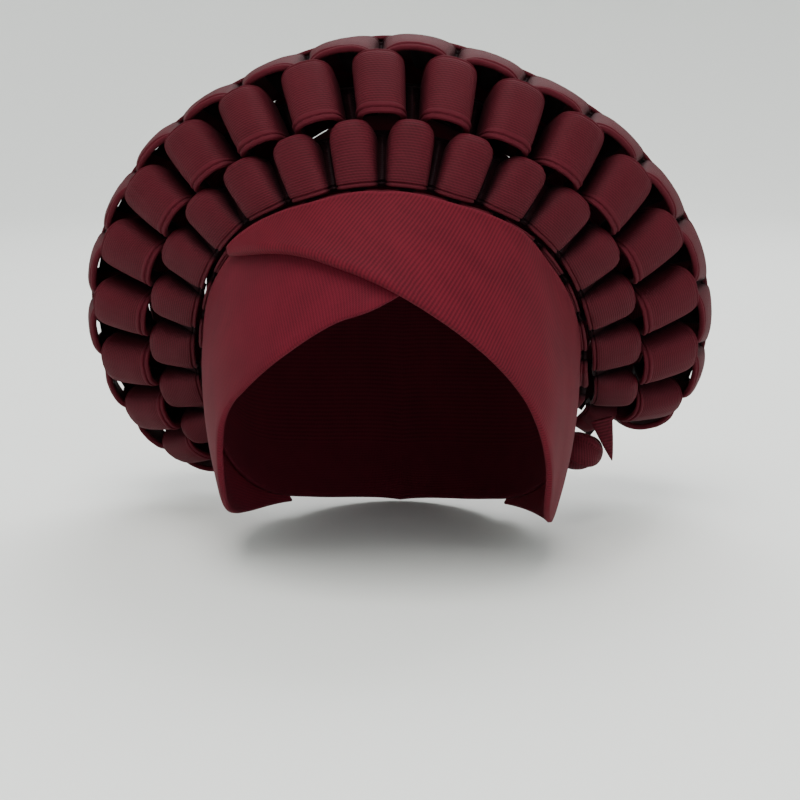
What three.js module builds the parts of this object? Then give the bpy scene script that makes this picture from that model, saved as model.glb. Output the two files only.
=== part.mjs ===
// A ready-tied gele head tie: a stretch cap, a crossed brow band of two doubled panels,
// and a halo of doubled cloth strips that stand in staggered puffs around the face.
// Units are millimetres. -Y is the way the wearer looks, +X the wearer's left, +Z up.
// The origin is the middle of the head, level with its widest girth.
import * as THREE from 'three';

// Head that the tie is stretched over: half of an ellipsoid above the girth, a longer one below.
const HEAD_HALF_WIDTH = 71.5;
const HEAD_HALF_DEPTH = 96;
const CROWN_HEIGHT = 100;
const JAW_DEPTH = 118;

// Cloth thicknesses and the clearance kept between neighbouring pieces.
const CAP_WALL = 1.5;
const PANEL_WALL = 2.2;
const STRIP_WALL = 2.4;
const CLEARANCE = 0.7;
const ROW_CLEARANCE = 1.7;

// Lifts of the inner face of each cloth above the head.
const CAP_LIFT = 0.2;
const UNDER_PANEL_LIFT = CAP_LIFT + CAP_WALL + CLEARANCE;
const OVER_PANEL_LIFT = UNDER_PANEL_LIFT + PANEL_WALL + CLEARANCE;

// Lifts above the head of the lines where the halo ends, in front and behind.
const FOOT_LIFT = 2.2;
const REAR_FOOT_LIFT = 5.9;

// Halo: its axis runs front to back at this height, and bearings are turned about it from the top.
const HALO_AXIS_HEIGHT = 25;
const PUFF_STEP = 18.5;
const PUFF_STEP_FALL = 0.45;
// Past this puff on the wearer's left the puffs are crowded towards the knot, and past this bearing
// the halo is drawn in twice as fast as on the other side.
const CROWDED_FROM = 7.7;
const DRAWN_IN_FROM = 110;

const BAND_COLOUR = 0x7a1b2e;
const PUFF_COLOUR = 0x6b1624;

// Doubled strips that the halo is sewn from, in order from the brow over the rim to the back.
const HALO_ROWS = [
  // first and last number the puffs from the top, to the wearer's right and left; near and far are
  // a puff's widths as shares of the pitch, at the strip's edge nearer the brow and at the other;
  // tuck is how many puffs further the strip's left end runs on at the folds' depth
  { name: 'base_row', first: -9, last: 8, near: 0.7, far: 0.7, tuck: 0.1 },
  { name: 'inner_row', first: -9.5, last: 8.5, near: 0.76, far: 0.62, tuck: 0.1 },
  { name: 'outer_row', first: -9, last: 8, near: 0.74, far: 0.7, tuck: 0.1 },
  { name: 'rim_row', first: -9.5, last: 8.5, near: 0.84, far: 0.84, tuck: 0.5 },
  { name: 'rear_outer_row', first: -9, last: 8, near: 0.78, far: 0.78, tuck: 0.1 },
  { name: 'rear_middle_row', first: -9.5, last: 8.5, near: 0.74, far: 0.74, tuck: 0.1 },
  { name: 'rear_inner_row', first: -9, last: 8, near: 0.74, far: 0.8, tuck: 0.1 },
];
// Widths of the five strips between the base row and the rear inner row.
const STRIP_WIDTHS = [28.5, 31, 31, 31, 27];

const STRIP_EDGES = [
  // the eight edges of the strips in the same order: how deep the folds between puffs are, how many
  // degrees the puffs' ends are drawn up towards the top at the halo's sides, how many degrees they
  // are turned to the wearer's left, and the share of a step that the crowded puffs keep
  { foldDepth: 2.2, rise: -4, turn: 0, crowded: 0.62 },
  { foldDepth: 2, rise: -4, turn: 0, crowded: 0.62 },
  { foldDepth: 11, rise: 0.5, turn: -0.5, crowded: 1 },
  { foldDepth: 14, rise: 5.5, turn: -1.8, crowded: 1 },
  { foldDepth: 2.2, rise: 5.5, turn: -1.8, crowded: 1 },
  { foldDepth: 4, rise: 4, turn: -1, crowded: 1 },
  { foldDepth: 2.4, rise: 2, turn: 0, crowded: 0.8 },
  { foldDepth: 1.5, rise: 0, turn: 0, crowded: 0.8 },
];
const FOLD_TO_PITCH = 0.5;
const LEAST_FOLD_OPENING = 1;

const HALO_SECTIONS = [
  // bearing from the top in degrees; radius and depth of the inner row's front edge; how far each
  // of the five strips leans, 0 straight out from the axis, 90 straight back, 180 straight in;
  // gather, the share of its width that a strip keeps; footDepth, where the rear meets the cap
  { bearing: 0, radius: 51.8, depth: -70.5, leans: [20, 40, 82, 106, 131], gather: 1, footDepth: 57 },
  { bearing: 30, radius: 54.5, depth: -66, leans: [25, 40, 84, 112, 141], gather: 1, footDepth: 58 },
  { bearing: 60, radius: 65, depth: -47, leans: [31, 37, 81, 122, 154], gather: 1, footDepth: 60 },
  { bearing: 90, radius: 76, depth: -15, leans: [32, 31, 76, 130, 164], gather: 1, footDepth: 64 },
  { bearing: 112, radius: 88, depth: 14, leans: [31, 39, 79, 140, 174], gather: 0.95, footDepth: 66 },
  { bearing: 126, radius: 95, depth: 32, leans: [28, 48, 89, 150, 180], gather: 0.8, footDepth: 65 },
  { bearing: 140, radius: 97, depth: 48, leans: [21, 51, 100, 160, 190], gather: 0.4, footDepth: 63 },
];

const PUFF_PROFILE = [
  // share of the way from a puff's middle to its side, and share of the fold's depth there
  { along: 0, sink: 0 },
  { along: 0.5, sink: 0.05 },
  { along: 0.86, sink: 0.25 },
  { along: 0.98, sink: 0.62 },
  { along: 1, sink: 1 },
];

const HALVINGS = 30;
const radians = THREE.MathUtils.degToRad;
const clamp = THREE.MathUtils.clamp;

function fromTable(rows, key, column, at, pick) {
  // Smooth value of a table's column: a Hermite curve through its rows. A column may hold lists.
  const read = (row) => (pick === undefined ? row[column] : row[column][pick]);
  const x = clamp(at, rows[0][key], rows[rows.length - 1][key]);
  let i = 0;
  while (i < rows.length - 2 && x > rows[i + 1][key]) i += 1;
  const slope = (j) => {
    const a = rows[Math.max(j - 1, 0)];
    const b = rows[Math.min(j + 1, rows.length - 1)];
    return (read(b) - read(a)) / (b[key] - a[key]);
  };
  const [p, q] = [rows[i], rows[i + 1]];
  const span = q[key] - p[key];
  const t = (x - p[key]) / span;
  const [t2, t3] = [t * t, t * t * t];
  return (2 * t3 - 3 * t2 + 1) * read(p) + (t3 - 2 * t2 + t) * span * slope(i)
    + (3 * t2 - 2 * t3) * read(q) + (t3 - t2) * span * slope(i + 1);
}

function geometryOf(points, triangles) {
  const geometry = new THREE.BufferGeometry();
  const numbers = points.flatMap((p) => [p.x, p.y, p.z]);
  geometry.setAttribute('position', new THREE.Float32BufferAttribute(numbers, 3));
  geometry.setIndex(triangles);
  geometry.computeVertexNormals();
  return geometry;
}

function meshVolume(points, triangles) {
  let volume = 0;
  for (let i = 0; i < triangles.length; i += 3) {
    const [a, b, c] = [0, 1, 2].map((k) => points[triangles[i + k]]);
    volume += a.dot(new THREE.Vector3().crossVectors(b, c)) / 6;
  }
  return volume;
}

function loft(sections) {
  // Closed solid through sections, each a closed ring of the same number of points.
  const points = sections.flat();
  const ring = sections[0].length;
  const triangles = [];
  for (let i = 0; i < sections.length - 1; i += 1) {
    for (let j = 0; j < ring; j += 1) {
      const k = (j + 1) % ring;
      const [a, b, c, d] = [i * ring + j, i * ring + k, (i + 1) * ring + k, (i + 1) * ring + j];
      triangles.push(a, b, c, a, c, d);
    }
  }
  const last = (sections.length - 1) * ring;
  // The ends are closed in strips between the ring's outer and inner half.
  for (let j = 0; j < ring / 2 - 1; j += 1) {
    const [a, b, c, d] = [j, j + 1, ring - 2 - j, ring - 1 - j];
    triangles.push(a, c, b, a, d, c);
    triangles.push(last + a, last + b, last + c, last + a, last + c, last + d);
  }
  if (meshVolume(points, triangles) < 0) {
    for (let i = 0; i < triangles.length; i += 3) {
      [triangles[i], triangles[i + 1]] = [triangles[i + 1], triangles[i]];
    }
  }
  return geometryOf(points, triangles);
}

// Head form

function onHead(azimuth, latitude, lift) {
  // Point over the head: azimuth turns from the brow to the wearer's left, latitude climbs to the crown.
  const [a, b] = [radians(azimuth), radians(latitude)];
  const height = (latitude >= 0 ? CROWN_HEIGHT : JAW_DEPTH) + lift;
  return new THREE.Vector3(
    (HEAD_HALF_WIDTH + lift) * Math.cos(b) * Math.sin(a),
    -(HEAD_HALF_DEPTH + lift) * Math.cos(b) * Math.cos(a),
    height * Math.sin(b),
  );
}

// Cap: a seamless stretch dome whose hem runs under the brow band and down to the nape.

const CAP_HEM = [
  { azimuth: 0, latitude: 36 },
  { azimuth: 30, latitude: 32 },
  { azimuth: 60, latitude: 12 },
  { azimuth: 85, latitude: -14 },
  { azimuth: 110, latitude: -30 },
  { azimuth: 140, latitude: -37 },
  { azimuth: 180, latitude: -40 },
];
const CAP_SPOKES = 32;
const CAP_RINGS = 9;

function capGeometry() {
  const points = [onHead(0, 90, CAP_LIFT + CAP_WALL), onHead(0, 90, CAP_LIFT)];
  const triangles = [];
  const index = (face, ring, spoke) => 2 + ((ring - 1) * CAP_SPOKES + (spoke % CAP_SPOKES)) * 2 + face;
  for (let ring = 1; ring <= CAP_RINGS; ring += 1) {
    for (let spoke = 0; spoke < CAP_SPOKES; spoke += 1) {
      const azimuth = (spoke * 360) / CAP_SPOKES - 180;
      const hem = fromTable(CAP_HEM, 'azimuth', 'latitude', Math.abs(azimuth));
      const latitude = 90 - ((90 - hem) * ring) / CAP_RINGS;
      points.push(onHead(azimuth, latitude, CAP_LIFT + CAP_WALL), onHead(azimuth, latitude, CAP_LIFT));
    }
  }
  for (let spoke = 0; spoke < CAP_SPOKES; spoke += 1) {
    triangles.push(0, index(0, 1, spoke), index(0, 1, spoke + 1));
    triangles.push(1, index(1, 1, spoke + 1), index(1, 1, spoke));
    for (let ring = 1; ring < CAP_RINGS; ring += 1) {
      const [a, b, c, d] = [[ring, spoke], [ring, spoke + 1], [ring + 1, spoke + 1], [ring + 1, spoke]]
        .map(([r, s]) => [index(0, r, s), index(1, r, s)]);
      triangles.push(a[0], c[0], b[0], a[0], d[0], c[0]);
      triangles.push(a[1], b[1], c[1], a[1], c[1], d[1]);
    }
    const [e, f] = [index(0, CAP_RINGS, spoke), index(0, CAP_RINGS, spoke + 1)];
    const [g, h] = [index(1, CAP_RINGS, spoke), index(1, CAP_RINGS, spoke + 1)];
    triangles.push(e, h, f, e, g, h);
  }
  return geometryOf(points, triangles);
}

// Brow band: each panel runs from behind one ear across the brow, its folded edge towards the face.
// Its other edge follows the halo's foot.

const OVER_EDGE = [
  // share of the way from behind the wearer's left ear, over the brow, to where the fold meets the halo
  { share: 0, azimuth: 128, latitude: -36 },
  { share: 0.12, azimuth: 98, latitude: -33 },
  { share: 0.22, azimuth: 78, latitude: -29.5 },
  { share: 0.3, azimuth: 64.5, latitude: -24.5 },
  { share: 0.38, azimuth: 55, latitude: -13 },
  { share: 0.48, azimuth: 44, latitude: -0.7 },
  { share: 0.56, azimuth: 33.7, latitude: 8.2 },
  { share: 0.64, azimuth: 21, latitude: 16.3 },
  { share: 0.72, azimuth: 6.2, latitude: 23.4 },
  { share: 0.8, azimuth: -9, latitude: 28 },
  { share: 0.9, azimuth: -29, latitude: 30.7 },
  { share: 1, azimuth: -57.5, latitude: 28.4 },
];
const UNDER_EDGE = [
  { share: 0, azimuth: -128, latitude: -36 },
  { share: 0.14, azimuth: -100, latitude: -33 },
  { share: 0.26, azimuth: -79, latitude: -28 },
  { share: 0.34, azimuth: -65, latitude: -20 },
  { share: 0.43, azimuth: -54, latitude: -5.5 },
  { share: 0.53, azimuth: -42, latitude: 2.5 },
  { share: 0.64, azimuth: -28, latitude: 10.7 },
  { share: 0.76, azimuth: -13, latitude: 18 },
  { share: 0.88, azimuth: 2, latitude: 22.4 },
  { share: 1, azimuth: 32, latitude: 35 },
];
const PANEL_STEPS = 28;
const PANEL_ACROSS = 4;
const PANEL_TO_HALO = 1;
// Halo bearings along which each panel's other edge runs, from its end behind the ear.
const UNDER_BEARINGS = [-139, 46];
const OVER_BEARINGS = [139, -62];
// The over panel comes down to the head between these azimuths, past the end of the under panel.
const EASE_FROM = 48;
const EASE_TO = 66;

function headAngles(point) {
  const height = point.z >= 0 ? CROWN_HEIGHT : JAW_DEPTH;
  const [x, y, z] = [point.x / HEAD_HALF_WIDTH, point.y / HEAD_HALF_DEPTH, point.z / height];
  return [Math.atan2(x, -y), Math.atan2(z, Math.hypot(x, y))].map(THREE.MathUtils.radToDeg);
}

function panelGeometry(edge, bearings, liftAt) {
  const sections = [];
  for (let i = 0; i <= PANEL_STEPS; i += 1) {
    const share = i / PANEL_STEPS;
    const low = ['azimuth', 'latitude'].map((column) => fromTable(edge, 'share', column, share));
    const foot = edgeFrame(THREE.MathUtils.lerp(...bearings, share), 0);
    const high = headAngles(foot.point.addScaledVector(foot.normal, PANEL_TO_HALO));
    const outer = [];
    const inner = [];
    for (let j = 0; j <= PANEL_ACROSS; j += 1) {
      const t = j / PANEL_ACROSS;
      const [azimuth, latitude] = [0, 1].map((k) => low[k] + (high[k] - low[k]) * t);
      outer.push(onHead(azimuth, latitude, liftAt(azimuth) + PANEL_WALL));
      inner.unshift(onHead(azimuth, latitude, liftAt(azimuth)));
    }
    sections.push([...outer, ...inner]);
  }
  return loft(sections);
}

function overPanelLift(azimuth) {
  const eased = THREE.MathUtils.smoothstep(azimuth, EASE_FROM, EASE_TO);
  return OVER_PANEL_LIFT + (UNDER_PANEL_LIFT - OVER_PANEL_LIFT) * eased;
}

// Halo

function bearingOf(puff, edge) {
  // Bearing of a place along a strip's edge, counted in puffs from the top.
  const { rise, turn, crowded } = STRIP_EDGES[edge];
  const counted = Math.min(puff, CROWDED_FROM + (puff - CROWDED_FROM) * crowded);
  const bearing = counted * (PUFF_STEP - PUFF_STEP_FALL * Math.abs(counted));
  return bearing + turn - rise * Math.sin(radians(bearing));
}

function inHalo(bearing, radius, depth) {
  const b = radians(bearing);
  return new THREE.Vector3(radius * Math.sin(b), depth, HALO_AXIS_HEIGHT + radius * Math.cos(b));
}

function headGirth(point, lift) {
  // How large the lifted head would have to be to reach the point, 1 where it just does.
  const [x, y] = [point.x / (HEAD_HALF_WIDTH + lift), point.y / (HEAD_HALF_DEPTH + lift)];
  return Math.hypot(x, y, point.z / ((point.z >= 0 ? CROWN_HEIGHT : JAW_DEPTH) + lift));
}

function footOnHead(bearing, depth, lift) {
  // Point on the lifted head at a bearing and a depth, found by halving.
  let [inside, outside] = [0, 2 * CROWN_HEIGHT];
  for (let i = 0; i < HALVINGS; i += 1) {
    const radius = (inside + outside) / 2;
    if (headGirth(inHalo(bearing, radius, depth), lift) < 1) inside = radius;
    else outside = radius;
  }
  return inHalo(bearing, inside, depth);
}

function haloEdges(bearing) {
  // Edges of the strips at a bearing, from the base row's foot over the rim to the foot behind.
  const at = Math.max(Math.abs(bearing), 2 * bearing - DRAWN_IN_FROM);
  const value = (column, pick) => fromTable(HALO_SECTIONS, 'bearing', column, at, pick);
  let [radius, depth] = [value('radius'), value('depth')];
  const front = inHalo(bearing, radius, depth);
  const edges = [front.clone().divideScalar(headGirth(front, FOOT_LIFT)), front];
  STRIP_WIDTHS.forEach((width, i) => {
    const lean = radians(value('leans', i));
    radius += width * value('gather') * Math.cos(lean);
    depth += width * value('gather') * Math.sin(lean);
    edges.push(inHalo(bearing, radius, depth));
  });
  edges.push(footOnHead(bearing, value('footDepth'), REAR_FOOT_LIFT));
  return edges;
}

function edgeFrame(bearing, edge) {
  // Point on the edge, the mean direction across the strips there, and the normal out of the halo.
  const halfStep = 0.5;
  const [before, here, after] = [bearing - halfStep, bearing, bearing + halfStep].map(haloEdges);
  const along = after[edge].clone().sub(before[edge]);
  const ways = [[edge - 1, edge], [edge, edge + 1]]
    .filter(([from, to]) => from >= 0 && to < here.length)
    .map(([from, to]) => here[to].clone().sub(here[from]).normalize());
  const across = ways.reduce((sum, way) => sum.add(way), new THREE.Vector3()).normalize();
  const normal = new THREE.Vector3().crossVectors(along, across).normalize();
  return { point: here[edge].clone(), across, normal, perDegree: along.length() / (2 * halfStep) };
}

function stripPoint(edge, widthShare, { puff, side, station, past }) {
  // Middle of the strip's wall at a station of the puff's profile, to one side of the puff's middle,
  // and so many puffs past it.
  const step = bearingOf(puff + 0.5, edge) - bearingOf(puff - 0.5, edge);
  const halfPitch = (edgeFrame(bearingOf(puff, edge), edge).perDegree * step) / 2;
  const roomForFold = 1 - (STRIP_WALL + LEAST_FOLD_OPENING) / 2 / halfPitch;
  const along = PUFF_PROFILE[station].along * Math.min(widthShare, roomForFold);
  const frame = edgeFrame(bearingOf(puff + (side * along) / 2 + past, edge), edge);
  const depth = Math.min(STRIP_EDGES[edge].foldDepth, FOLD_TO_PITCH * 2 * halfPitch);
  const sink = STRIP_WALL / 2 + depth * PUFF_PROFILE[station].sink;
  return { point: frame.point.addScaledVector(frame.normal, -sink), across: frame.across };
}

function rowGeometry(row, rowIndex) {
  const stops = [];
  for (let puff = row.first; puff <= row.last; puff += 1) {
    for (let i = 1 - PUFF_PROFILE.length; i < PUFF_PROFILE.length; i += 1) {
      stops.push({ puff, side: Math.sign(i), station: Math.abs(i), past: 0 });
    }
  }
  stops.push({ ...stops[stops.length - 1], past: row.tuck });
  const edges = [[rowIndex, row.near, 1], [rowIndex + 1, row.far, -1]].map(([edge, widthShare, inward]) => {
    const line = stops.map((stop) => stripPoint(edge, widthShare, stop));
    return line.map(({ point, across }, i) => {
      const way = line[Math.min(i + 1, line.length - 1)].point.clone().sub(line[Math.max(i - 1, 0)].point);
      const lean = new THREE.Vector3().crossVectors(way, across).normalize().multiplyScalar(STRIP_WALL / 2);
      const middle = point.clone().addScaledVector(across, (inward * ROW_CLEARANCE) / 2);
      return { outer: middle.clone().add(lean), inner: middle.clone().sub(lean) };
    });
  });
  const [near, far] = edges;
  return loft(stops.map((_, i) => [near[i].outer, far[i].outer, far[i].inner, near[i].inner]));
}

// Knot behind the wearer's left ear: the rolled end of the strips, and the pointed corner beside it.

const KNOT_CENTRE = new THREE.Vector3(78.7, 31, -42);
const KNOT_HALF_SIZE = new THREE.Vector3(10.5, 11, 8.5);
const KNOT_SIDES = 14;
const KNOT_RINGS = 10;
const CORNER_TOP = new THREE.Vector3(89.6, 30, -33.5);
const CORNER_TIP = new THREE.Vector3(93, 29, -46);
const CORNER_HALF_WIDTH = 3.8;
const CORNER_HALF_THICKNESS = 1.3;
const CORNER_SIDES = 8;

function knotGeometry() {
  const { x, y, z } = KNOT_CENTRE;
  const geometry = new THREE.SphereGeometry(1, KNOT_SIDES, KNOT_RINGS);
  return geometry.scale(KNOT_HALF_SIZE.x, KNOT_HALF_SIZE.y, KNOT_HALF_SIZE.z).translate(x, y, z);
}

function knotCornerGeometry() {
  // Flat spike between its top and its tip.
  const way = CORNER_TIP.clone().sub(CORNER_TOP);
  const geometry = new THREE.ConeGeometry(1, way.length(), CORNER_SIDES);
  geometry.scale(CORNER_HALF_WIDTH, 1, CORNER_HALF_THICKNESS);
  const up = new THREE.Vector3(0, 1, 0);
  geometry.applyQuaternion(new THREE.Quaternion().setFromUnitVectors(up, way.normalize()));
  const middle = CORNER_TOP.clone().lerp(CORNER_TIP, 0.5);
  return geometry.translate(middle.x, middle.y, middle.z);
}

const group = new THREE.Group();

function add(name, geometry, colour) {
  const material = new THREE.MeshStandardMaterial({ color: colour, roughness: 0.8, metalness: 0 });
  const mesh = new THREE.Mesh(geometry, material);
  mesh.name = name;
  group.add(mesh);
}

add('crown_cap', capGeometry(), PUFF_COLOUR);
add('under_panel', panelGeometry(UNDER_EDGE, UNDER_BEARINGS, () => UNDER_PANEL_LIFT), BAND_COLOUR);
add('over_panel', panelGeometry(OVER_EDGE, OVER_BEARINGS, overPanelLift), BAND_COLOUR);
HALO_ROWS.forEach((row, i) => add(row.name, rowGeometry(row, i), PUFF_COLOUR));
add('side_knot', knotGeometry(), PUFF_COLOUR);
add('knot_corner', knotCornerGeometry(), PUFF_COLOUR);

export default group;
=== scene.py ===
# A ready-tied gele head tie of dark wine scuba cloth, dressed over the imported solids.
# Lengths in the tables are millimetres and angles degrees; every mesh is in metres.
import math

import bpy
import numpy as np
from mathutils import Matrix, Vector


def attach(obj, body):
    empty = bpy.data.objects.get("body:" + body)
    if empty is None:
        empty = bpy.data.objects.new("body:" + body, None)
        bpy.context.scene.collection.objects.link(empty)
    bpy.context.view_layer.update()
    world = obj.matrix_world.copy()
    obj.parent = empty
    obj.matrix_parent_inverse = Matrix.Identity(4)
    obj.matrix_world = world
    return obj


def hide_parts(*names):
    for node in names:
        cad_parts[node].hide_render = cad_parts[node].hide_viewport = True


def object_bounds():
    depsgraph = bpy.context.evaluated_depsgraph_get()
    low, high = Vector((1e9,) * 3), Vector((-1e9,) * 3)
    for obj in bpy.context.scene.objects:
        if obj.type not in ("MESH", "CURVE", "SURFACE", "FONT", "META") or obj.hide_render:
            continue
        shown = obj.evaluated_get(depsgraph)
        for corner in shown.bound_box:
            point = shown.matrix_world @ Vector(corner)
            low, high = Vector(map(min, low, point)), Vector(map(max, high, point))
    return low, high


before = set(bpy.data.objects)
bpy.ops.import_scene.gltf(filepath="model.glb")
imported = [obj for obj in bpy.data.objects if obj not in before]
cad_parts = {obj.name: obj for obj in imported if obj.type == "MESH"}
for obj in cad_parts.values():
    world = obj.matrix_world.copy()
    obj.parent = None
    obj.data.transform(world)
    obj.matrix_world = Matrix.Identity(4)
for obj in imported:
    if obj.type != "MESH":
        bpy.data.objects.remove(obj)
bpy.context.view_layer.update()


# Crown cap
# The cap is a seamless dome of matt stretch knit, pulled over the crown and hemmed from the brow
# down to the nape. The brow band and the rows of puffs are sewn to it.

MM = 0.001
HEAD_HALF_WIDTH, HEAD_HALF_DEPTH, CROWN_HEIGHT, JAW_DEPTH = 71.5, 96, 100, 118
CAP_LIFT, CAP_WALL, WALL_SHARE = 0.2, 1.5, 0.8
CAP_HEM = [  # azimuth from the brow, latitude of the hem
    (0, 36), (30, 32), (60, 12), (85, -14), (110, -30), (140, -37), (180, -40),
]
CAP_SPOKES, CAP_RINGS, HEM_RINGS, HEM_WIDTH_DEGREES = 144, 48, 12, 5.5
CROWN_SHARE, HEM_SHARE = 0.02, 0.9
HEM_FULLNESS, HEM_EASE, HEM_RISE = 0.9, 0.12, 0.004
STITCH_DIP, STITCH_ROW, STITCH_REACH = 0.5, 0.82, 0.07


def through(rows, at, column=1):
    """A smooth curve through a table's rows, read at many places."""
    table = [(row[0], row[column]) for row in rows]
    x, y = np.array(table, float).T
    slope = np.empty_like(y)
    slope[1:-1] = (y[2:] - y[:-2]) / (x[2:] - x[:-2])
    slope[0], slope[-1] = (y[1] - y[0]) / (x[1] - x[0]), (y[-1] - y[-2]) / (x[-1] - x[-2])
    at = np.clip(at, x[0], x[-1])
    i = np.clip(np.searchsorted(x, at, side="right") - 1, 0, len(x) - 2)
    span = x[i + 1] - x[i]
    t = (at - x[i]) / span
    return (
        (2 * t**3 - 3 * t**2 + 1) * y[i]
        + (t**3 - 2 * t**2 + t) * span * slope[i]
        + (3 * t**2 - 2 * t**3) * y[i + 1]
        + (t**3 - t**2) * span * slope[i + 1]
    )


def over_head(azimuth, latitude, lift):
    """Points at a lift over the form that the cap is drawn on, by azimuth and latitude."""
    a, b = np.radians(azimuth), np.radians(latitude)
    height = np.where(latitude >= 0, CROWN_HEIGHT, JAW_DEPTH) + lift
    return np.stack(
        [
            (HEAD_HALF_WIDTH + lift) * np.cos(b) * np.sin(a),
            -(HEAD_HALF_DEPTH + lift) * np.cos(b) * np.cos(a),
            height * np.sin(b),
        ],
        axis=-1,
    )


def bump_at(x, middle, reach):
    """A soft rise from 0 to 1 and back, around a middle."""
    return np.exp(-(((x - middle) / reach) ** 2))


def sewn_piece(name, points, faces, uvs, material, node, edge=None, fold=None):
    """A cloth piece from its points in mm, with its pattern laid out in metres along the cloth."""
    mesh = bpy.data.meshes.new(name)
    corners = [[int(i) for i in face] for face in faces]
    mesh.from_pydata((np.asarray(points) * MM).tolist(), [], corners)
    layer = mesh.uv_layers.new(name="cloth")
    layer.data.foreach_set("uv", (np.asarray(uvs, float) * MM).ravel())
    # these amounts place a painted highlight on rolled edges and painted shade deep in the folds
    for attribute, values in (("rolled", edge), ("folded", fold)):
        if values is not None:
            data = mesh.attributes.new(attribute, "FLOAT", "POINT").data
            data.foreach_set("value", np.asarray(values, float).ravel())
    mesh.shade_smooth()
    piece = bpy.data.objects.new(name, mesh)
    bpy.context.scene.collection.objects.link(piece)
    mesh.materials.append(material)
    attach(piece, "root")
    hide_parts(node)
    return piece


def linear(colour):
    """sRGB hex to the linear colour that the shader takes."""
    parts = [int(colour[i : i + 2], 16) / 255 for i in (1, 3, 5)]
    return [c / 12.92 if c <= 0.04045 else ((c + 0.055) / 1.055) ** 2.4 for c in parts] + [1]


def add_node(tree, kind, settings, **links):
    """Adds a node, sets its properties and unlinked sockets, and links the others."""
    node = tree.nodes.new(kind)
    for key, value in settings.items():
        if isinstance(key, str) and hasattr(node, key):
            setattr(node, key, value)
        else:
            node.inputs[key].default_value = value
    for key, socket in links.items():
        place = int(key[1:]) if key[0] == "i" and key[1:].isdigit() else key.replace("_", " ")
        tree.links.new(socket, node.inputs[place])
    return node


NAP_SCALE, NAP_STRENGTH = 60, 0.55  # patches of nap about 17 mm across
PILE_SCALE, PILE_STRENGTH = 1400, 0.35  # grains of pile about 0.7 mm across
SHADE_UP_TO = 0.35


def knitted_cloth(
    name, shade, light, roughness, sheen, ribs, bump_mm, painted_highlight_colour=None, painted_fold_shade_colour=None
):
    """A cloth material: ribs is a list of (turn in degrees, pitch in mm, strength)."""
    material = bpy.data.materials.new(name)
    material.use_nodes = True
    tree = material.node_tree
    tree.nodes.clear()
    place = add_node(tree, "ShaderNodeUVMap", {"uv_map": "cloth"}).outputs["UV"]
    relief = None
    for turn, pitch, strength in ribs:
        turned = add_node(
            tree, "ShaderNodeMapping", {"Rotation": (0, 0, math.radians(turn))}, Vector=place
        ).outputs[0]
        # a wave texture's bands lie pi / 10 / scale apart
        wave = add_node(
            tree,
            "ShaderNodeTexWave",
            {"wave_type": "BANDS", "bands_direction": "Y", "wave_profile": "SIN",
             "Scale": math.pi / 10 / (pitch * MM), "Distortion": 0.6, "Detail": 1.0,
             "Detail Scale": 0.4},
            Vector=turned,
        ).outputs["Fac"]
        part = add_node(
            tree, "ShaderNodeMath", {"operation": "MULTIPLY", 1: strength}, i0=wave
        ).outputs[0]
        relief = part if relief is None else add_node(
            tree, "ShaderNodeMath", {"operation": "ADD"}, i0=relief, i1=part
        ).outputs[0]
    nap = add_node(
        tree,
        "ShaderNodeTexNoise",
        {"Scale": NAP_SCALE, "Detail": 4.0, "Roughness": 0.6},
        Vector=place,
    ).outputs["Fac"]
    pile = add_node(
        tree, "ShaderNodeTexNoise", {"Scale": PILE_SCALE, "Detail": 2.0}, Vector=place
    ).outputs["Fac"]
    # the ribs' relief tints the colour: painted highlight on ridges, painted shade in grooves
    add_up = {"operation": "MULTIPLY_ADD"}
    mixed = add_node(
        tree, "ShaderNodeMath", {**add_up, 1: PILE_STRENGTH}, i0=pile, i2=relief
    ).outputs[0]
    toned = add_node(
        tree, "ShaderNodeMath", {**add_up, 1: NAP_STRENGTH}, i0=nap, i2=mixed
    ).outputs[0]
    ramp = add_node(tree, "ShaderNodeValToRGB", {}, Fac=toned)
    ramp.color_ramp.elements[0].position = SHADE_UP_TO
    ramp.color_ramp.elements[0].color = linear(shade)
    ramp.color_ramp.elements[1].position = 1.0
    ramp.color_ramp.elements[1].color = linear(light)
    colour = ramp.outputs["Color"]
    # painted highlight where the cloth is rolled, and painted shade deep down in its folds
    for attribute, tint in (("rolled", painted_highlight_colour), ("folded", painted_fold_shade_colour)):
        if tint is None:
            continue
        amount = add_node(
            tree, "ShaderNodeAttribute", {"attribute_name": attribute}
        ).outputs["Fac"]
        colour = add_node(
            tree, "ShaderNodeMix", {"data_type": "RGBA", 7: linear(tint)}, i0=amount, i6=colour
        ).outputs[2]
    bump = add_node(
        tree, "ShaderNodeBump", {"Strength": 0.8, "Distance": bump_mm * MM}, Height=mixed
    ).outputs["Normal"]
    shader = add_node(
        tree,
        "ShaderNodeBsdfPrincipled",
        {"Roughness": roughness, "IOR": 1.45, "Sheen Weight": sheen, "Sheen Roughness": 0.5,
         "Sheen Tint": linear("#C04A60"), "Specular IOR Level": 0.1},
        Base_Color=colour,
        Normal=bump,
    ).outputs[0]
    add_node(tree, "ShaderNodeOutputMaterial", {}, Surface=shader)
    return material


# Matt stretch jersey: fine courses across it, hardly any shine, a little nap. Its courses are
# drawn coarser than real ones, 1 mm apart, so that they show.
stretch_jersey = knitted_cloth(
    "wine_stretch_jersey", "#2E0710", "#470E1A", 0.85, 0.04,
    [(0, 1.0, 0.4), (90, 1.0, 0.25)], 0.12,
)

azimuth = np.arange(CAP_SPOKES) * 360 / CAP_SPOKES - 180
hem = through(CAP_HEM, np.abs(azimuth))
share = np.concatenate([
    np.linspace(CROWN_SHARE, HEM_SHARE, CAP_RINGS),
    np.linspace(HEM_SHARE, 1, HEM_RINGS + 1)[1:],
])
ring_latitude = 90 - (90 - hem[None, :]) * share[:, None]
to_hem = (ring_latitude - hem[None, :]) / HEM_WIDTH_DEGREES
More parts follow.
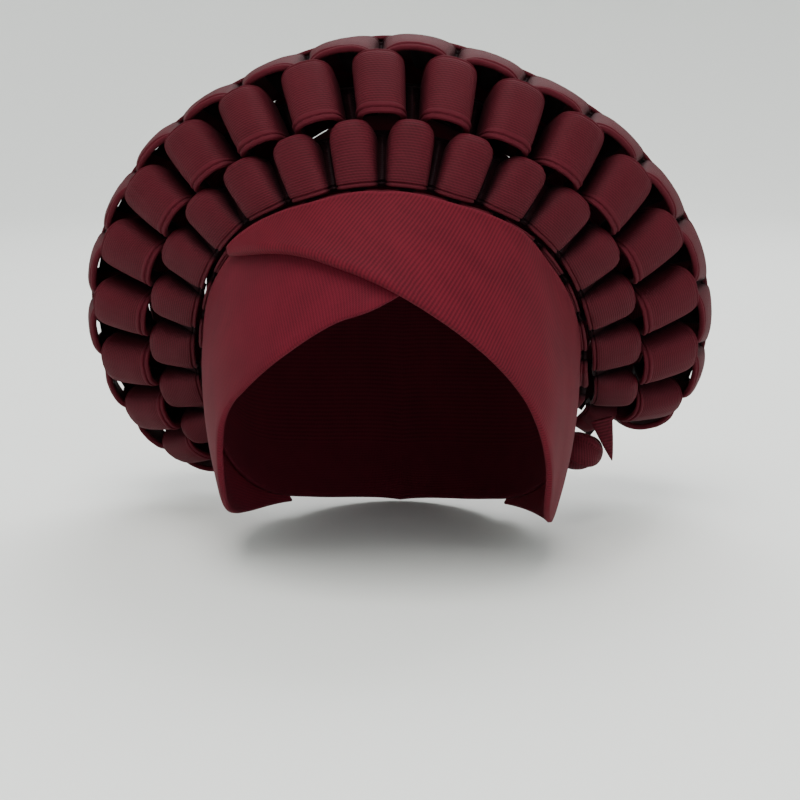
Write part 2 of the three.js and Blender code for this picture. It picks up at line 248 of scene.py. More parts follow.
# the hem is turned up once, so it is thicker, with a row of stitches pressed in at its top
turned_up = HEM_FULLNESS * np.clip((1 - to_hem) / HEM_EASE, 0, 1)
turned_up = turned_up - STITCH_DIP * bump_at(to_hem, STITCH_ROW, STITCH_REACH)
outer_lift = CAP_LIFT + CAP_WALL * WALL_SHARE
outside = over_head(azimuth[None, :], ring_latitude, outer_lift)
outside = outside * (1 + HEM_RISE * np.clip(turned_up, -1, 1)[..., None])
inside = over_head(azimuth[None, :], ring_latitude, CAP_LIFT)
rings = np.concatenate([outside, inside[::-1]])
top_out = over_head(np.array([0.0]), np.array([90.0]), outer_lift)
top_in = over_head(np.array([0.0]), np.array([90.0]), CAP_LIFT)
points = np.concatenate([rings.reshape(-1, 3), top_out, top_in])
count = len(rings)
around = np.concatenate([np.arange(CAP_SPOKES), [0]])
COLUMN, COURSE = 3.9, 2.6  # a mesh cell's sides, for laying the pattern out
faces, uvs = [], []
for ring in range(count - 1):
    for spoke in range(CAP_SPOKES):
        low, high = ring * CAP_SPOKES, (ring + 1) * CAP_SPOKES
        ahead = around[spoke + 1]
        faces.append([low + spoke, high + spoke, high + ahead, low + ahead])
        u, v = spoke * COLUMN, ring * COURSE
        uvs += [(u, v), (u, v + COURSE), (u + COLUMN, v + COURSE), (u + COLUMN, v)]
for spoke in range(CAP_SPOKES):
    last = (count - 1) * CAP_SPOKES
    faces.append([len(points) - 2, spoke, around[spoke + 1]])
    faces.append([len(points) - 1, last + around[spoke + 1], last + spoke])
    u = spoke * COLUMN
    uvs += [(u, 0), (u, COURSE), (u + COLUMN, COURSE)] * 2
crown = sewn_piece("crown_cap_knit", points, faces, uvs, stretch_jersey, "crown_cap")


# Rows of puffs
# Each row is one long strip of scuba cloth, folded double along its length and pleated back and
# forth, so that it stands in puffs. Neighbouring rows are tacked together corner to corner.

HALO_AXIS_HEIGHT, PUFF_STEP, PUFF_STEP_FALL = 25, 18.5, 0.45
CROWDED_FROM, DRAWN_IN_FROM = 7.7, 110
FOOT_LIFT, REAR_FOOT_LIFT, ROW_CLEARANCE = 2.2, 5.9, 1.7
STRIP_WIDTHS = [28.5, 31, 31, 31, 27]
# at the two rear seams the folds are shallower than in the solids, and the rows behind the rim
# are drawn closer together, so that less light shows through
STRIP_EDGES = [  # fold depth, rise, turn, share of a step that crowded puffs keep
    (2.2, -4, 0, 0.62), (2, -4, 0, 0.62), (11, 0.5, -0.5, 1), (14, 5.5, -1.8, 1),
    (2.2, 5.5, -1.8, 1), (1.8, 4, -1, 1), (1.8, 2, 0, 0.8), (1.5, 0, 0, 0.8),
]
HALO_SECTIONS = [  # bearing, radius, depth, five leans, gather, depth of the rear foot
    (0, 51.8, -70.5, 20, 40, 82, 106, 131, 1, 57),
    (30, 54.5, -66, 25, 40, 84, 112, 141, 1, 58),
    (60, 65, -47, 31, 37, 81, 122, 154, 1, 60),
    (90, 76, -15, 32, 31, 76, 130, 164, 1, 64),
    (112, 88, 14, 31, 39, 79, 140, 174, 0.95, 66),
    (126, 95, 32, 28, 48, 89, 150, 180, 0.8, 65),
    (140, 97, 48, 21, 51, 100, 160, 190, 0.4, 63),
]
PUFF_PROFILE = [(0, 0, 0), (1, 0.5, 0.05), (2, 0.86, 0.25), (3, 0.98, 0.62), (4, 1, 1)]
STRIP_WALL, FOLD_OPENING, FOLD_TO_PITCH = 2.4, 1, 0.5
BEARINGS = np.arange(-150, 150.01, 0.5)
HALVINGS = 30


def halo_edges():
    """The eight edges at every bearing: points, normals out of the halo, and mm to a degree."""
    b = np.radians(BEARINGS)
    drawn = np.maximum(np.abs(BEARINGS), 2 * BEARINGS - DRAWN_IN_FROM)
    value = lambda column: through(HALO_SECTIONS, drawn, column)

    def at(radius, depth):
        return np.stack(
            [radius * np.sin(b), depth, HALO_AXIS_HEIGHT + radius * np.cos(b)], axis=-1
        )

    def girth(p, lift):
        height = np.where(p[:, 2] >= 0, CROWN_HEIGHT, JAW_DEPTH) + lift
        return np.sqrt(
            (p[:, 0] / (HEAD_HALF_WIDTH + lift)) ** 2
            + (p[:, 1] / (HEAD_HALF_DEPTH + lift)) ** 2
            + (p[:, 2] / height) ** 2
        )

    radius, depth = value(1), value(2)
    front = at(radius, depth)
    edges = [front / girth(front, FOOT_LIFT)[:, None], front]
    for i, width in enumerate(STRIP_WIDTHS):
        lean = np.radians(value(3 + i))
        radius = radius + width * value(8) * np.cos(lean)
        depth = depth + width * value(8) * np.sin(lean)
        edges.append(at(radius, depth))
    low, high = np.zeros(len(b)), np.full(len(b), 2.0 * CROWN_HEIGHT)
    for _ in range(HALVINGS):
        middle = (low + high) / 2
        within = girth(at(middle, value(9)), REAR_FOOT_LIFT) < 1
        low, high = np.where(within, middle, low), np.where(within, high, middle)
    edges.append(at(low, value(9)))
    edges = np.stack(edges, axis=1)
    along = np.gradient(edges, BEARINGS, axis=0)
    ways = edges[:, 1:] - edges[:, :-1]
    ways /= np.linalg.norm(ways, axis=-1, keepdims=True)
    across = np.concatenate([ways[:, :1], ways[:, :-1] + ways[:, 1:], ways[:, -1:]], axis=1)
    across /= np.linalg.norm(across, axis=-1, keepdims=True)
    normal = np.cross(along, across)
    normal /= np.linalg.norm(normal, axis=-1, keepdims=True)
    return edges, normal, np.linalg.norm(along, axis=-1)


EDGES, NORMALS, PER_DEGREE = halo_edges()


def read_edge(table, bearing, edge):
    """A table's value on an edge at many bearings."""
    column = table[:, edge]
    if column.ndim == 1:
        return np.interp(bearing, BEARINGS, column)
    return np.stack([np.interp(bearing, BEARINGS, column[:, k]) for k in range(3)], axis=-1)


def bearing_of(puff, edge):
    """Bearing of a place along an edge, counted in puffs from the top."""
    _, rise, turn, crowded = STRIP_EDGES[edge]
    counted = np.minimum(puff, CROWDED_FROM + (puff - CROWDED_FROM) * crowded)
    bearing = counted * (PUFF_STEP - PUFF_STEP_FALL * np.abs(counted))
    return bearing + turn - rise * np.sin(np.radians(bearing))


def roll(x, middle, radius, height):
    """Height of a rolled edge over the cloth, at a distance x from the strip's edge."""
    return height * np.sqrt(np.clip(1 - ((x - middle) / radius) ** 2, 0, 1))


def doubled_wall(top, under, length, lay):
    """Points, faces and pattern places of a closed wall between two grids of stations."""
    rings = np.concatenate([top, under[:, ::-1]], axis=1)
    stations, ring = rings.shape[:2]
    points = rings.reshape(-1, 3)
    i, j = np.meshgrid(np.arange(stations - 1), np.arange(ring), indexing="ij")
    k = (j + 1) % ring
    corners = [(i, j, j), (i + 1, j, j), (i + 1, k, j + 1), (i, k, j + 1)]
    quads = np.stack([station * ring + point for station, point, _ in corners], axis=-1)
    places = [np.stack([length[station], lay[station, place]], -1) for station, _, place in corners]
    quads, uvs = quads.reshape(-1, 4), np.stack(places, axis=2).reshape(-1, 2)
    j = np.arange(ring // 2 - 1)
    end = np.stack([j, j + 1, ring - 2 - j, ring - 1 - j], axis=-1)
    quads = np.concatenate([quads, end, (stations - 1) * ring + end[:, ::-1]])
    uvs = np.concatenate([uvs, np.tile([[0, 0], [0, 2], [2, 2], [2, 0]], (2 * len(end), 1))])
    a, b, c, d = (points[quads[:, q]] for q in range(4))
    volume = (a * (np.cross(b, c) + np.cross(c, d))).sum()
    if volume < 0:
        quads, uvs = quads[:, ::-1], uvs.reshape(-1, 4, 2)[:, ::-1].reshape(-1, 2)
    return points, quads, uvs


def walked(line):
    """Distance along a line of points from its start."""
    return np.concatenate([[0], np.cumsum(np.linalg.norm(np.diff(line, axis=0), axis=1))])


STEPS_A_PUFF, TUCK_STEPS = 49, 6
REAR_SEAM, REAR_SEAMS = 0.5, (4, 5, 6)
EDGE_STOPS = [0, 0.15, 0.5, 0.95, 1.4, 1.8, 2.1, 2.4, 2.8, 3.2, 3.7, 4.15, 4.5]
CLOTH_HALF_THICKNESS, STITCH_PITCH = 1.0, 3.6
ROLL_RADIUS, SECOND_ROLL, ROLL_FOOT, GROOVE = 1.05, 3.15, 0.35, (1.9, 2.3)
THIN_EDGE_DIP, THIN_EDGE_REACH = 0.7, 0.35
THUMB_FROM, THUMB_SPAN, THUMB_NARROWING = 0.72, 0.28, 0.3
THUMB_DIP, THUMB_DIP_FROM, THUMB_DIP_SPAN = 2.2, 0.8, 0.2
DOUBLE_HIGHLIGHT_WIDTH, THIN_HIGHLIGHT_WIDTH = 4.2, 1.7
PAINTED_SHADE_FROM, PAINTED_SHADE_SPAN = 0.15, 0.55
LEAST_FLAT_SIDE, LEAST_AREA_SHARE = 0.01, 0.3


def puffed_strip(name, node, number, first, last, near, far, tuck, seed, finish):
    """A row of puffs. finish names how the strip's near and far edges look."""
    chance = np.random.default_rng(seed)
    puffs = np.arange(first, last + 0.5)
    steps = np.linspace(-4, 4, STEPS_A_PUFF)
    profile = np.abs(steps)
    along = through([(q, a) for q, a, _ in PUFF_PROFILE], profile)
    sink = through([(q, s) for q, _, s in PUFF_PROFILE], profile)
    # the strip's left end runs on past its last puff at the folds' depth
    past = np.linspace(0, tuck, TUCK_STEPS + 1)[1:]
    run_on = lambda values: np.concatenate([values, np.full(TUCK_STEPS, values[-1])])
    puff = run_on(np.repeat(puffs, len(steps)))
    past = np.concatenate([np.zeros(len(puff) - TUCK_STEPS), past])
    side = run_on(np.tile(np.sign(steps), len(puffs)))
    along = np.clip(run_on(np.tile(along, len(puffs))), 0, 1)
    sink = np.clip(run_on(np.tile(sink, len(puffs))), 0, 1)
    fuller = run_on(np.repeat(chance.uniform(-0.5, 0.7, len(puffs)), len(steps)))
    wider = run_on(np.repeat(chance.uniform(-0.03, 0.03, len(puffs)), len(steps)))

    if number in (0, 6):
        gap = EDGES[:, number + 1] - EDGES[:, number]
        width = float(np.median(np.linalg.norm(gap, axis=-1)))
    else:
        width = STRIP_WIDTHS[number - 1]
    if width < 3 * EDGE_STOPS[-1]:
        stops = np.linspace(0, width, 17)
    else:
        ends = np.array(EDGE_STOPS)
        middle = np.linspace(ends[-1], width - ends[-1], 9)[1:-1]
        stops = np.concatenate([ends, middle, width - ends[::-1]])
    t = stops / width

    # where the wall's middle lies
    cloth = np.zeros((len(puff), len(t), 3))
    outward = np.zeros_like(cloth)
    share = near + (far - near) * t
    if finish["far"] == "thumb":
        share = share * (1 - THUMB_NARROWING * np.clip((t - THUMB_FROM) / THUMB_SPAN, 0, 1) ** 2.4)
    for edge, weight in ((number, 1 - t), (number + 1, t)):
        step = bearing_of(puff + 0.5, edge) - bearing_of(puff - 0.5, edge)
        half = read_edge(PER_DEGREE, bearing_of(puff, edge), edge) * step / 2
        room = 1 - (STRIP_WALL + FOLD_OPENING) / 2 / half
        reach = along[:, None] * np.minimum(share[None, :] + wider[:, None], room[:, None])
        bearing = bearing_of((puff + past)[:, None] + side[:, None] * reach / 2, edge)
        depth = np.minimum(STRIP_EDGES[edge][0], FOLD_TO_PITCH * 2 * half)
        normal = read_edge(NORMALS, bearing, edge)
        down = STRIP_WALL / 2 + (depth * sink)[:, None]
        sunk = read_edge(EDGES, bearing, edge) - normal * down[..., None]
        cloth += weight[None, :, None] * sunk
        outward += weight[None, :, None] * normal
    outward /= np.linalg.norm(outward, axis=-1, keepdims=True)

    # the wall is trimmed at both edges, so that rows don't meet; the rear seams are drawn closer
    apart = [REAR_SEAM if edge in REAR_SEAMS else ROW_CLEARANCE for edge in (number, number + 1)]
    shift = apart[0] / 2 / width * (1 - t) - apart[1] / 2 / width * t
    cloth = cloth + (cloth[:, -1:] - cloth[:, :1]) * shift[None, :, None]

    face = (1 - sink)[:, None]
    crowned = (1 - (2 * t - 1) ** 4)[None, :]
    pillow = finish["pillow"] * crowned * (1 + 0.4 * fuller[:, None]) * face
    if finish["far"] == "thumb":
        at_tip = np.clip((t - THUMB_DIP_FROM) / THUMB_DIP_SPAN, 0, 1)[None, :]
        pillow = pillow - THUMB_DIP * face * at_tip**2
    cloth = cloth + outward * pillow[..., None]

    out = np.cross(np.gradient(cloth, axis=0), np.gradient(cloth, axis=1))
    out /= np.maximum(np.linalg.norm(out, axis=-1, keepdims=True), 1e-9)
    length = walked(cloth[:, len(t) // 2])

    # rolled edges, uneven as hand work is, with the stitches pressed in beside them
    x, back = stops[None, :], (width - stops)[None, :]
    uneven = 0.12 * np.sin(length / 9 + seed) + 0.08 * np.sin(length / 3.7 + 2 * seed)
    uneven = uneven[:, None]
    to_edge = np.clip(np.minimum(x, back) / CLOTH_HALF_THICKNESS, 0, 1)
    rounded = CLOTH_HALF_THICKNESS * np.sqrt(np.clip(1 - (1 - to_edge) ** 2, 0.02, 1))
    rounded = np.broadcast_to(rounded, cloth.shape[:2])
    stitch = 0.35 * (np.sin(2 * np.pi * length / STITCH_PITCH) > 0.2)[:, None]
    outer = rounded.copy()
    if finish["near"] == "double":
        first_roll = ROLL_FOOT + roll(x, ROLL_RADIUS, ROLL_RADIUS, 1.15 + uneven)
        second_roll = ROLL_FOOT + roll(x, SECOND_ROLL, ROLL_RADIUS, 1.05 - uneven)
        outer = np.maximum(outer, first_roll)
        outer = np.maximum(outer, np.where(x > 0.5, second_roll, 0))
        outer = np.where((x > GROOVE[0]) & (x < GROOVE[1]), ROLL_FOOT + stitch, outer)
    if finish["near"] == "thin":
        outer = outer - THIN_EDGE_DIP * bump_at(x, GROOVE[0], THIN_EDGE_REACH)
    if finish["far"] in ("thin", "thumb"):
        outer = outer - THIN_EDGE_DIP * bump_at(back, GROOVE[0], THIN_EDGE_REACH)
    if finish["far"] == "double":
        outer = np.maximum(outer, ROLL_FOOT + roll(back, ROLL_RADIUS, ROLL_RADIUS, 1.0 + uneven))
        outer = np.where((back > GROOVE[0]) & (back < GROOVE[1]), 0.4 + stitch, outer)
    top = cloth + out * outer[..., None]
    under = cloth - out * rounded[..., None]
    lay = np.concatenate([stops, 2 * width - stops[::-1] + 2, [2 * width + 2]])
    lay = np.broadcast_to(lay, (len(puff), len(lay)))
    points, quads, uvs = doubled_wall(top, under, length, lay)

    # painted highlight along the strip's rolled and thin edges, taken away deep in the folds
    painted_highlight = np.zeros(2 * len(t))
    if finish["near"] == "double":
        painted_near_highlight = (stops < DOUBLE_HIGHLIGHT_WIDTH) * 0.85
    else:
        painted_near_highlight = (stops < THIN_HIGHLIGHT_WIDTH) * 0.5
    painted_far_highlight = (width - stops < THIN_HIGHLIGHT_WIDTH) * (0.8 if finish["far"] == "double" else 0.5)
    painted_highlight[: len(t)] = np.maximum(painted_near_highlight, painted_far_highlight)
    # painted shade that darkens the cloth towards the bottom of each fold
    painted_fold_shade = np.clip((sink - PAINTED_SHADE_FROM) / PAINTED_SHADE_SPAN, 0, 1)[:, None] * np.ones(len(painted_highlight))
    piece = sewn_piece(
        name, points, quads, uvs, finish["cloth"], node, painted_highlight * (1 - painted_fold_shade), painted_fold_shade
    )
    patches = np.cross(np.diff(cloth, axis=0)[:, :-1], np.diff(cloth, axis=1)[:-1])
    area = float(np.linalg.norm(patches, axis=-1).sum()) * MM * MM
    flat = (max(width * MM, LEAST_FLAT_SIDE), float(length[-1]) * MM)
    most = flat[0] * flat[1]
    area = min(max(area, LEAST_AREA_SHARE * most), most)


# Scuba knit with fine ribs along the strip: dense and matt, with a painted highlight where it is
# rolled and painted shade deep down in its folds. The ribs are drawn 1.1 mm apart, coarser than
# real, so that they show.
ribbed_scuba = knitted_cloth(
    "wine_ribbed_scuba", "#2C080E", "#47111B", 0.7, 0.02,
    # the colour #46111B is the painted highlight on rolled edges, #100306 the painted shade in
    # folds
    [(0, 1.1, 0.55), (58, 1.3, 0.15)], 0.16, "#46111B", "#100306",
)

ROWS = [  # node, number, first, last, near, far, tuck, edges, pillow
    ("base_row", 0, -9, 8, 0.7, 0.7, 0.1, "thin", "thin", 0.2),
    ("inner_row", 1, -9.5, 8.5, 0.76, 0.68, 0.1, "thin", "thumb", 1.6),
    ("outer_row", 2, -9, 8, 0.74, 0.72, 0.1, "double", "thin", 1.8),
    ("rim_row", 3, -9.5, 8.5, 0.91, 0.9, 0.5, "double", "double", 1.6),
    ("rear_outer_row", 4, -9, 8, 0.78, 0.78, 0.1, "thin", "double", 1.6),
    ("rear_middle_row", 5, -9.5, 8.5, 0.74, 0.74, 0.1, "thin", "double", 1.2),
    ("rear_inner_row", 6, -9, 8, 0.74, 0.8, 0.1, "thin", "thin", 0.6),
]
FIRST_SEED = 40
for node, number, first, last, near, far, tuck, near_edge, far_edge, pillow in ROWS:
    finish = {"near": near_edge, "far": far_edge, "pillow": pillow, "cloth": ribbed_scuba}
    seed = FIRST_SEED + number
    puffed_strip(node + "_cloth", node, number, first, last, near, far, tuck, seed, finish)


# Brow band
# Two panels of twill-faced scuba, each folded double, run from the back of either side across the
# front and cross over: the one from the left as worn lies on top. Their raw edges are sewn under
# the puffs.

PANEL_WALL, UNDER_LIFT, OVER_LIFT = 2.2, 2.4, 5.3
OVER_EDGE = [  # share of the length, azimuth, latitude of the folded edge
    (0, 128, -36), (0.12, 98, -33), (0.22, 78, -29.5), (0.3, 64.5, -24.5), (0.38, 55, -13),
    (0.48, 44, -0.7), (0.56, 33.7, 8.2), (0.64, 21, 16.3), (0.72, 6.2, 23.4), (0.8, -9, 28),
    (0.9, -29, 30.7), (1, -57.5, 28.4),
]
UNDER_EDGE = [
    (0, -128, -36), (0.14, -100, -33), (0.26, -79, -28), (0.34, -65, -20), (0.43, -54, -5.5),
    (0.53, -42, 2.5), (0.64, -28, 10.7), (0.76, -13, 18), (0.88, 2, 22.4), (1, 32, 35),
]
UNDER_BEARINGS, OVER_BEARINGS = (-139, 46), (139, -62)
EASE_FROM, EASE_TO = 48, 66
RAISED_FROM, RAISED_SPAN, RAISED_END = 0.55, 0.25, 0.07
FOLD_REACH, FOLD_LEAST, FOLD_BULGE, FOLD_FADE = 4.2, 0.45, 1.7, 9
STAND_OFF, STAND_OFF_REACH = 1.2, 8
BINDING_RISE, BINDING_MIDDLE, BINDING_REACH = 0.45, 1.2, 0.8
BINDING_WIDTH, BINDING_PAINTED_HIGHLIGHT = 2.2, 0.7


def brow_panel(name, node, table, bearings, lift_at, raised, cloth):
    """A doubled panel with a soft fold along the face and a bound edge along the halo."""
    share = np.linspace(0, 1, 181)
    low = np.stack([through(table, share, 1), through(table, share, 2)], axis=-1)
    bearing = bearings[0] + (bearings[1] - bearings[0]) * share
    foot = read_edge(EDGES, bearing, 0) + read_edge(NORMALS, bearing, 0)
    height = np.where(foot[:, 2] >= 0, CROWN_HEIGHT, JAW_DEPTH)
    u, v, w = foot[:, 0] / HEAD_HALF_WIDTH, foot[:, 1] / HEAD_HALF_DEPTH, foot[:, 2] / height
    high = np.degrees(np.stack([np.arctan2(u, -v), np.arctan2(w, np.hypot(u, v))], axis=-1))
    t = np.concatenate(
        [np.linspace(0, 0.1, 15), np.linspace(0.1, 0.92, 26)[1:], np.linspace(0.92, 1, 9)[1:]]
    )
    angles = low[:, None] + (high - low)[:, None] * t[None, :, None]
    base = over_head(angles[..., 0], angles[..., 1], lift_at(angles[..., 0]) + PANEL_WALL / 2)
    reach = np.linalg.norm(np.diff(base, axis=1), axis=-1)
    x = np.concatenate([np.zeros((len(share), 1)), np.cumsum(reach, axis=1)], axis=1)
    back = x[:, -1:] - x
    out = np.cross(np.gradient(base, axis=0), np.gradient(base, axis=1))
    out /= np.linalg.norm(out, axis=-1, keepdims=True)
    if (out * base).sum() < 0:
        out = -out
    # the fold is fuller than the rest, and stands off where the panel lies over the other one
    half = PANEL_WALL / 2
    to_edge = np.clip(np.minimum(x, back) / half, 0, 1)
    rounded = half * np.sqrt(np.clip(1 - (1 - to_edge) ** 2, 0.01, 1))
    lifted = raised(share)[:, None]
    round_fold = np.sqrt(np.clip(1 - (1 - np.clip(x / FOLD_REACH, 0, 1)) ** 2, 0, 1))
    fade = np.exp(-np.clip(x - FOLD_REACH, 0, None) / FOLD_FADE)
    full = (FOLD_LEAST + FOLD_BULGE * lifted) * round_fold * fade
    rim = BINDING_RISE * bump_at(back, BINDING_MIDDLE, BINDING_REACH)
    base = base + out * (STAND_OFF * lifted * bump_at(x, 0, STAND_OFF_REACH))[..., None]
    top = base + out * (rounded + full + rim)[..., None]
    under = base - out * rounded[..., None]
    length = walked(base[:, len(t) // 2])
    lay = np.concatenate([x, 2 * x[:, -1:] - x[:, ::-1] + 2, 2 * x[:, -1:] + 2], axis=1)
    points, quads, uvs = doubled_wall(top, under, length, lay)
    # a painted highlight along the bound edge
    bound = np.clip(1 - back / BINDING_WIDTH, 0, 1) * BINDING_PAINTED_HIGHLIGHT
    painted_highlight = np.concatenate([bound, np.zeros_like(x)], axis=1)
    return sewn_piece(name, points, quads, uvs, cloth, node, painted_highlight.ravel())


# Twill-faced scuba: smooth and dense, with fine diagonal wales that catch the light. They are
# drawn 1 mm apart, a little coarser than real ones, so that they show.
twill_scuba = knitted_cloth(
    "wine_twill_scuba", "#3A0A13", "#59121F", 0.72, 0.01,
    # the colour #66202C is the painted highlight along the bound edge
    [(56, 1.0, 0.5), (-38, 1.6, 0.08)], 0.08, "#66202C",
)
# The under panel's scuba shows two crossed grains of equal strength, so that no one way catches
# the light. They too are drawn 1 mm apart, so that they show.
crossed_scuba = knitted_cloth(
    "wine_crossed_scuba", "#3C0A14", "#581220", 0.72, 0.01,
    # the colour #66202C is the painted highlight along the bound edge
    [(62, 1.0, 0.3), (-50, 1.0, 0.3)], 0.07, "#66202C",
)


def over_lift(azimuth):
    """The over panel comes down past the under panel's end, to lie as close as that one does."""
    t = np.clip((azimuth - EASE_FROM) / (EASE_TO - EASE_FROM), 0, 1)
    return OVER_LIFT + (UNDER_LIFT - OVER_LIFT) * t * t * (3 - 2 * t)


def over_raised(share):
    """How far the over panel's fold stands off, most over the later part of its length."""
    rise = np.clip((share - RAISED_FROM) / RAISED_SPAN, 0, 1)
    return rise * np.clip((1 - share) / RAISED_END, 0, 1)


# as on the cap, flat sizes are estimates of the blanks and areas were chosen to agree with the mesh
under_piece = brow_panel(
    "under_panel_cloth", "under_panel", UNDER_EDGE, UNDER_BEARINGS,
    lambda azimuth: np.full_like(azimuth, UNDER_LIFT), lambda share: 0 * share, crossed_scuba,
)
over_piece = brow_panel(
    "over_panel_cloth", "over_panel", OVER_EDGE, OVER_BEARINGS, over_lift, over_raised, twill_scuba,
)


# Side knot
# Low at the back of the left side as worn, the strips' ends are rolled together into a small firm
# knot, and one doubled corner is left standing out of it.

KNOT_CENTRE, KNOT_HALF_SIZE = (78.7, 31, -42), (10.5, 11, 8.5)
KNOT_AROUND, KNOT_ALONG, KNOT_LAYERS, KNOT_TWIST = 120, 48, 4, 0.35
LAP_DEPTH, LAP_FALL, LAP_EDGE = 0.2, 1.6, 0.09
CORNER_TOP, CORNER_TIP = (89.6, 30, -33.5), (93, 29, -46)
CORNER_HALF_WIDTH, CORNER_HALF_THICKNESS = 3.8, 1.3
CORNER_FROM, CORNER_TO, CORNER_POINT = -0.45, 0.97, 0.985
CORNER_STATIONS, CORNER_AROUND = 26, 28
SLIT_DEPTH, SLIT_REACH, CURL = 0.18, 0.2, 0.8
PATTERN_STEP = 0.6


def tube_faces(stations, ring):
    """Faces and pattern places of a tube of rings, closed by a fan at each end."""
    quads, places, step = [], [], PATTERN_STEP
    for i in range(stations - 1):
        for j in range(ring):
            k = (j + 1) % ring
            quads.append([i * ring + j, i * ring + k, (i + 1) * ring + k, (i + 1) * ring + j])
            u, v = j * step, i * step
            places += [(u, v), (u + step, v), (u + step, v + step), (u, v + step)]
    for j in range(ring):
        k = (j + 1) % ring
        quads.append([stations * ring, k, j])
        quads.append([stations * ring + 1, (stations - 1) * ring + j, (stations - 1) * ring + k])
        places += [(0, 0), (step, 0), (step, step)] * 2
    return quads, places


def facing_out(points, faces, places):
    """The same faces, turned over if the solid would be inside out."""
    volume = 0.0
    for face in faces:
        a, *others = (points[i] for i in face)
        volume += sum(float(a @ np.cross(b, c)) for b, c in zip(others, others[1:]))
    if volume > 0:
        return faces, places
    turned, start = [], 0
    for face in faces:
        turned += places[start : start + len(face)][::-1]
        start += len(face)
    return [face[::-1] for face in faces], turned


theta, phi = np.meshgrid(
    np.linspace(0, 2 * np.pi, KNOT_AROUND, endpoint=False),
    np.linspace(0, np.pi, KNOT_ALONG + 1)[1:-1],
)
# layers lap over one another round the roll, like a cloth rolled up on itself
layer = (theta * KNOT_LAYERS / (2 * np.pi) + phi * KNOT_TWIST * KNOT_LAYERS / np.pi) % 1
lap = LAP_DEPTH * (1 - layer) ** LAP_FALL * np.clip(layer / LAP_EDGE, 0, 1)
swell = 1 - lap * np.sin(phi) ** 0.5
roll_shape = np.stack(
    [np.cos(phi), np.sin(phi) * np.cos(theta), np.sin(phi) * np.sin(theta)], axis=-1
)
points = np.concatenate([(roll_shape * swell[..., None]).reshape(-1, 3), [[1, 0, 0], [-1, 0, 0]]])
points = points * KNOT_HALF_SIZE
faces, uvs = facing_out(points, *tube_faces(KNOT_ALONG - 1, KNOT_AROUND))
knot = sewn_piece(
    "side_knot_roll", points + KNOT_CENTRE, faces, uvs, ribbed_scuba, "side_knot",
    # a painted highlight along the edge of each lap of the roll
    np.concatenate([0.7 * bump_at(layer, 0.95, 0.06).ravel(), [0, 0]]),
)

top, tip = np.array(CORNER_TOP, float), np.array(CORNER_TIP, float)
height = np.linalg.norm(tip - top)
way = (tip - top) / height
thick = np.array([0.0, -1.0, 0.0])
thick = thick - way * (thick @ way)
thick /= np.linalg.norm(thick)
wide = np.cross(way, thick)
sections, painted_corner_highlights = [], []
turn = np.linspace(0, 2 * np.pi, CORNER_AROUND, endpoint=False)
# the corner comes out from under the strips' ends, so it starts above its free part
for s in np.linspace(CORNER_FROM, CORNER_TO, CORNER_STATIONS):
    slit = 1 - SLIT_DEPTH * bump_at(np.sin(turn), 0, SLIT_REACH)
    across = np.sign(np.cos(turn)) * np.abs(np.cos(turn)) ** 0.75
    reach = across * CORNER_HALF_WIDTH * (1 - s) ** 0.85 * slit
    depth = np.sin(turn) * CORNER_HALF_THICKNESS * (1 - s) ** 0.4
    curl = CURL * np.sin(3 * s)
    sections.append(top + way * height * s + np.outer(reach, wide) + np.outer(depth + curl, thick))
    # a painted highlight along both folded sides of the corner
    painted_corner_highlights.append(0.8 * np.abs(np.cos(turn)) ** 6)
caps = [sections[0].mean(axis=0), top + way * height * CORNER_POINT]
points = np.concatenate([np.concatenate(sections), caps])
middle = points.mean(axis=0)
faces, uvs = facing_out(points - middle, *tube_faces(len(sections), len(turn)))
corner = sewn_piece(
    "knot_corner_cloth", points, faces, uvs, ribbed_scuba, "knot_corner",
    np.concatenate([np.concatenate(painted_corner_highlights), [0, 0]]),
)


# Studio
# A pale paper floor that sweeps up all round, soft light from above and in front, and the
# photograph's camera.

FLOOR_RADIUS, SWEEP_RADIUS, WALL_HEIGHT, FLOOR_SIDES, FLOOR_GAP = 1.5, 0.9, 3.2, 96, 0.0005
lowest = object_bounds()[0][2] - FLOOR_GAP
outline = [(r, 0) for r in np.linspace(0.05, FLOOR_RADIUS, 12)]
outline += [
    (FLOOR_RADIUS + SWEEP_RADIUS * math.sin(a), SWEEP_RADIUS * (1 - math.cos(a)))
    for a in np.linspace(0, math.pi / 2, 17)[1:]
]
outline.append((FLOOR_RADIUS + SWEEP_RADIUS, WALL_HEIGHT))
points, faces = [(0, 0, lowest)], []
for radius, height in outline:
    for q in range(FLOOR_SIDES):
        a = 2 * math.pi * q / FLOOR_SIDES
        points.append((radius * math.cos(a), radius * math.sin(a), lowest + height))
for q in range(FLOOR_SIDES):
    n = (q + 1) % FLOOR_SIDES
    faces.append((0, 1 + q, 1 + n))
    for k in range(len(outline) - 1):
        low, high = 1 + k * FLOOR_SIDES, 1 + (k + 1) * FLOOR_SIDES
        faces.append((low + q, high + q, high + n, low + n))
sweep = bpy.data.meshes.new("pale_floor")
sweep.from_pydata(points, [], faces)
sweep.shade_smooth()
floor = bpy.data.objects.new("pale_floor", sweep)
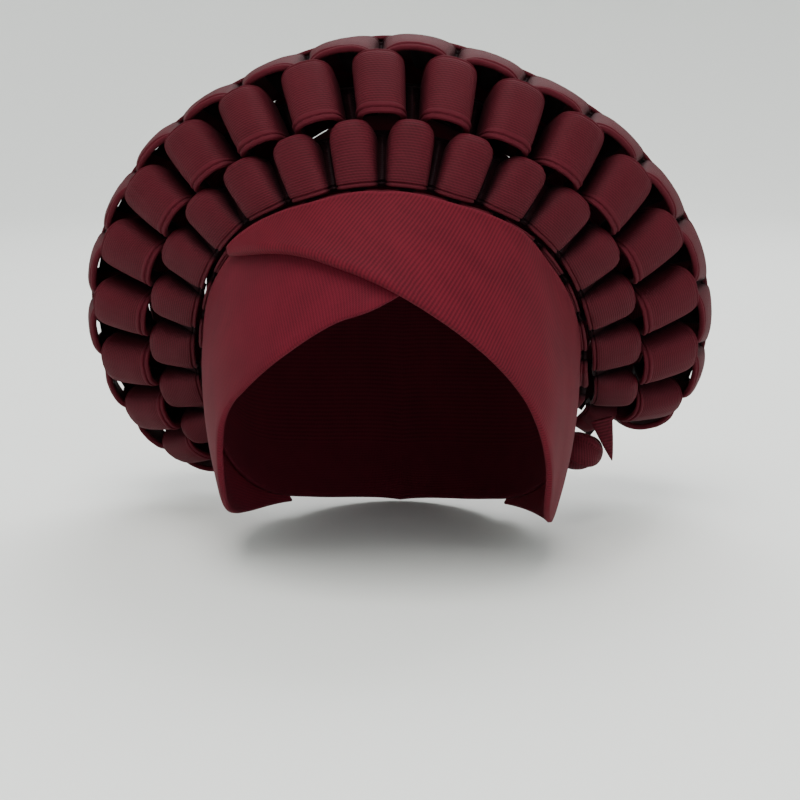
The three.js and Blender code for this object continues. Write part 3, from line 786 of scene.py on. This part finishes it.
bpy.context.scene.collection.objects.link(floor)
paper = bpy.data.materials.new("matt_backdrop_paper")
paper.use_nodes = True
shader = paper.node_tree.nodes["Principled BSDF"]
shader.inputs["Base Color"].default_value = linear("#F0F2F0")
shader.inputs["Roughness"].default_value = 0.9
shader.inputs["Specular IOR Level"].default_value = 0.1
sweep.materials.append(paper)

world = bpy.data.worlds.new("pale_surround")
world.use_nodes = True
world.node_tree.nodes["Background"].inputs["Color"].default_value = linear("#E6E8EA")
world.node_tree.nodes["Background"].inputs["Strength"].default_value = 0.78
bpy.context.scene.world = world

LIGHTS = [  # name, place in metres, size, watts, sRGB
    ("overhead_softbox", (-0.1, -0.8, 1.4), 0.9, 26, "#FFFDF8"),
    ("front_softbox", (0.7, -1.5, 0.5), 1.2, 6, "#F8FAFF"),
    ("rear_softbox", (0.2, 1.0, 1.3), 1.2, 22, "#FFFFFF"),
]
for name, place, size, watts, colour in LIGHTS:
    lamp = bpy.data.lights.new(name, "AREA")
    lamp.shape, lamp.size, lamp.energy = "SQUARE", size, watts
    lamp.color = linear(colour)[:3]
    lamp_object = bpy.data.objects.new(name, lamp)
    lamp_object.location = place
    aim = Vector((0, 0, 0.03)) - Vector(place)
    lamp_object.rotation_euler = aim.to_track_quat("-Z", "Y").to_euler()
    bpy.context.scene.collection.objects.link(lamp_object)

azimuth, elevation, distance = math.radians(2.7), math.radians(12), 648
to_the_right, upwards = 3.3, -13.6
back = Vector((
    math.sin(azimuth) * math.cos(elevation), -math.cos(azimuth) * math.cos(elevation),
    math.sin(elevation),
))
right = Vector((math.cos(azimuth), math.sin(azimuth), 0))
up = right.cross(-back)
eye = (right * to_the_right + up * upwards + back * distance) * MM
camera_data = bpy.data.cameras.new("photo_camera")
camera_data.lens, camera_data.sensor_width = 71.55, 36
camera = bpy.data.objects.new("photo_camera", camera_data)
camera.matrix_world = Matrix.Translation(eye) @ Matrix((right, up, back)).transposed().to_4x4()
bpy.context.scene.collection.objects.link(camera)
bpy.context.scene.camera = camera
